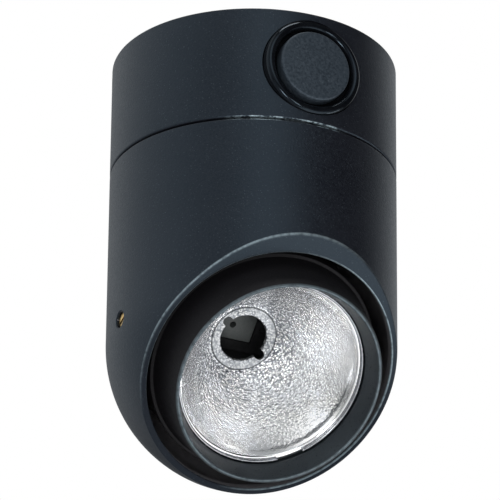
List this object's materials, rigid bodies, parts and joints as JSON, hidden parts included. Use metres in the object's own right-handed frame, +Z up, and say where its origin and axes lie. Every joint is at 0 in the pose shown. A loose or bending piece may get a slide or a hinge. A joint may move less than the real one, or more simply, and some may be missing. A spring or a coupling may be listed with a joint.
{
  "type": "ceiling spotlight",
  "caption": "Surface-mounted cylindrical ceiling spotlight with a domed lower housing cut off at a slant, a stippled reflector in a tilting black cup, and a blanked side entry.",
  "frame": {"origin": "middle of the ceiling face", "axes": "+Z up into the ceiling, -Y the side the lamp aims to, +X along the tilt axis"},
  "size_m": [0.12, 0.1228, 0.1839],
  "materials": {
    "black_nylon": "black nylon",
    "black_steel": "blackened steel",
    "brass": "turned brass",
    "ceramic": "unglazed dark steatite",
    "fibre": "pressed fibre",
    "gear_case": "moulded case",
    "gloss_black": "glossy black moulding",
    "matt_black": "matt black paint",
    "nylon": "natural nylon",
    "powder_coat": "dark blue-black satin powder coat, fine texture",
    "spring_steel": "bright spring steel",
    "stippled_aluminium": "bright anodised, finely stippled",
    "zinc_steel": "zinc-plated steel"
  },
  "bodies": {
    "base": {"ceiling_plate": "zinc_steel", "base_housing": "powder_coat", "lock_screw_1": "zinc_steel", "lock_screw_2": "zinc_steel", "plug_ring": "gloss_black", "plug_disc": "powder_coat", "plug_nut": "black_nylon", "terminal_block": "nylon", "terminal_screw_live": "brass", "terminal_screw_neutral": "brass", "terminal_screw_earth": "brass", "control_gear": "gear_case", "gear_screw_1": "zinc_steel", "gear_screw_2": "zinc_steel", "earth_screw": "brass", "stop_pin": "zinc_steel"},
    "lower": {"lower_housing": "powder_coat", "bearing_plate": "zinc_steel", "bearing_screw_1": "zinc_steel", "bearing_screw_2": "zinc_steel", "bearing_screw_3": "zinc_steel", "pan_tube": "zinc_steel", "friction_spring": "spring_steel", "pan_nut": "brass", "friction_washer": "fibre", "pivot_screw_left": "brass", "pivot_screw_right": "brass"},
    "lamp": {"lamp_cup": "matt_black", "reflector": "stippled_aluminium", "wire_ring": "spring_steel", "lampholder": "ceramic", "contact_left": "brass", "contact_right": "brass", "holder_cradle": "black_steel", "cradle_screw_1": "zinc_steel", "cradle_screw_2": "zinc_steel", "holder_screw_1": "black_steel", "holder_screw_2": "black_steel", "pivot_spacer_left": "nylon", "pivot_spacer_right": "nylon", "pivot_nut_left": "zinc_steel", "pivot_nut_right": "zinc_steel"}
  },
  "joints": [
    {"name": "head_pan", "type": "hinge", "parent": "base", "child": "lower", "pos_m": [0, 0, -0.0508], "axis": [0, 0, 1], "range_deg": [-172, 172]},
    {"name": "lamp_tilt", "type": "hinge", "parent": "lower", "child": "lamp", "pos_m": [0, 0, -0.1265], "axis": [1, 0, 0], "range_deg": [-12, 12]}
  ]
}
